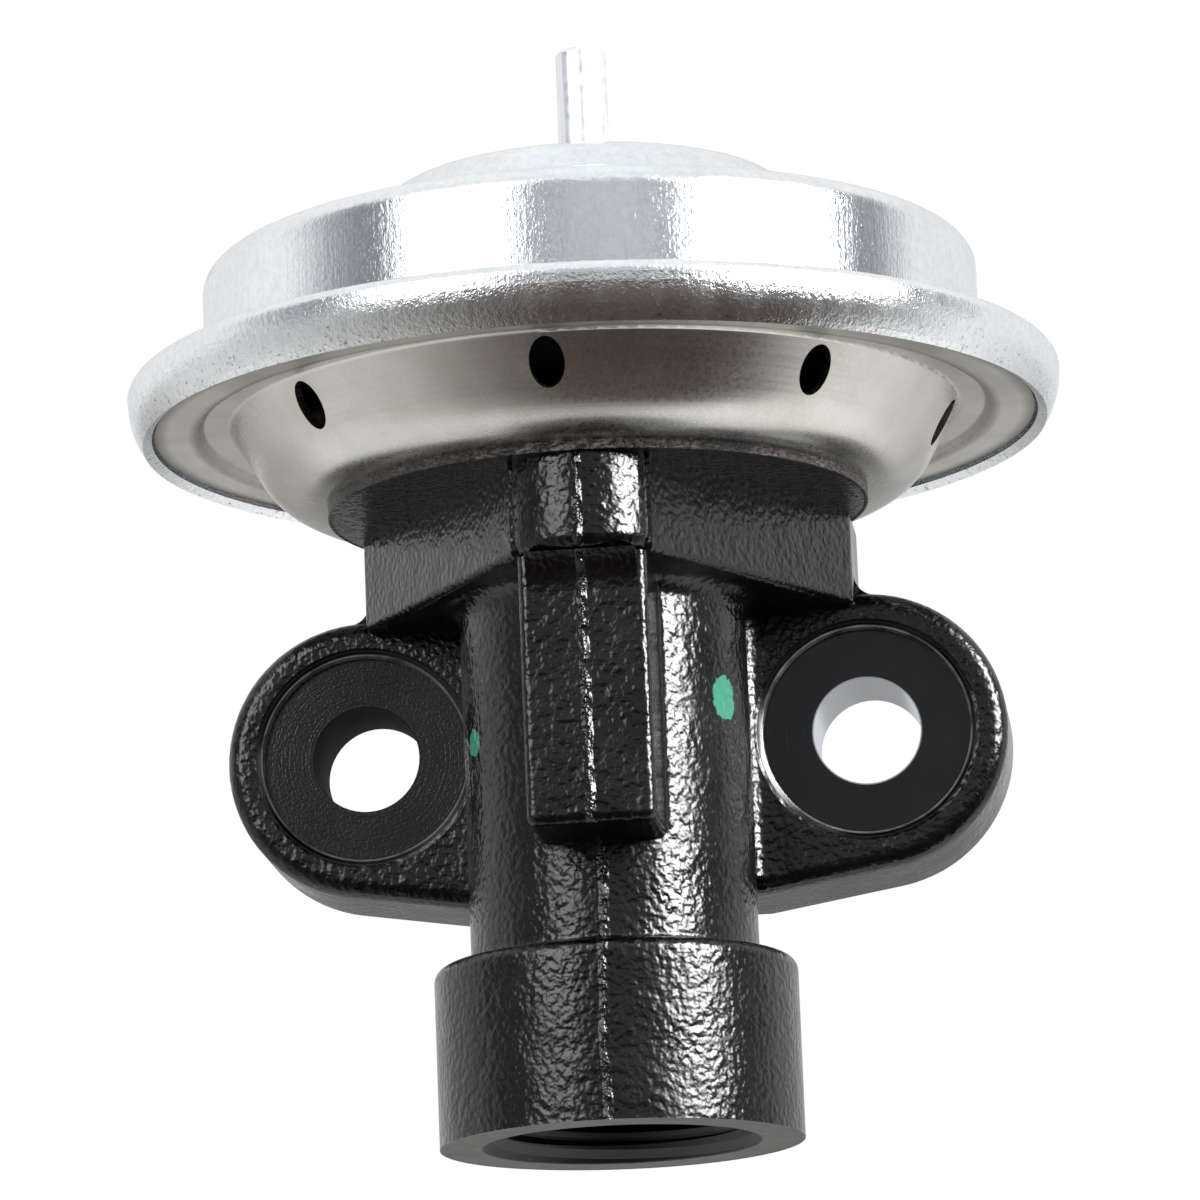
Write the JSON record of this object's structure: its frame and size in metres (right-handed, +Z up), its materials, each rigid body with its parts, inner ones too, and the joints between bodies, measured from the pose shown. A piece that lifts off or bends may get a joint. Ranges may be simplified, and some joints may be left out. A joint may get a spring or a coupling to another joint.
{
  "type": "exhaust gas recirculation valve",
  "caption": "Vacuum operated EGR valve: black cast body with a threaded tube collar and two bolt ears, under a crimped steel diaphragm can with a vacuum nipple.",
  "frame": {"origin": "centre of the tube collar's bottom face, on the valve stem's axis", "axes": "+Z up along the valve stem to the vacuum nipple, +Y to the bolted mounting face, -Y to the nose boss at the front"},
  "size_m": [0.0866, 0.0866, 0.1036],
  "materials": {
    "black_casting": "gloss black paint over a cast texture",
    "zinc_steel": "bright zinc plating, faintly scratched",
    "satin_steel": "satin drawn steel",
    "plain_steel": "plain zinc plated steel",
    "stem_steel": "ground stainless steel",
    "seat_steel": "machined stainless steel",
    "guide_iron": "machined sintered iron",
    "packing": "pressed graphite packing",
    "insulator_fibre": "pressed fibre disc, painted over with the casting",
    "piston_steel": "yellow passivated pressed steel",
    "spring_steel": "oiled spring wire",
    "diaphragm_rubber": "fabric backed rubber",
    "braze": "brazing fillet"
  },
  "bodies": {
    "valve": {"valve_body": "black_casting", "valve_seat": "seat_steel", "guide_bushing": "guide_iron", "stem_seal": "packing", "seal_retainer": "plain_steel", "base_insulator": "insulator_fibre", "clamp_plate": "plain_steel", "base_rivets": "plain_steel", "lower_can": "satin_steel", "upper_can": "zinc_steel", "vacuum_nipple": "zinc_steel", "nipple_braze": "braze", "diaphragm": "diaphragm_rubber", "return_spring": "spring_steel", "spring_seat": "plain_steel"},
    "stem_pack": {"valve_stem": "stem_steel", "pintle": "stem_steel", "soot_shield": "stem_steel", "shoulder_washer": "plain_steel", "lower_piston": "piston_steel", "upper_piston": "piston_steel", "clamp_washer": "plain_steel", "stem_nut": "plain_steel"}
  },
  "joints": [
    {"name": "pintle_lift", "type": "slide", "parent": "valve", "child": "stem_pack", "axis": [0, 0, 1], "range_m": [0, 0.0055], "stiffness_N_per_m": 1500, "springref_m": -0.012, "deforming": ["return_spring", "diaphragm"]}
  ]
}
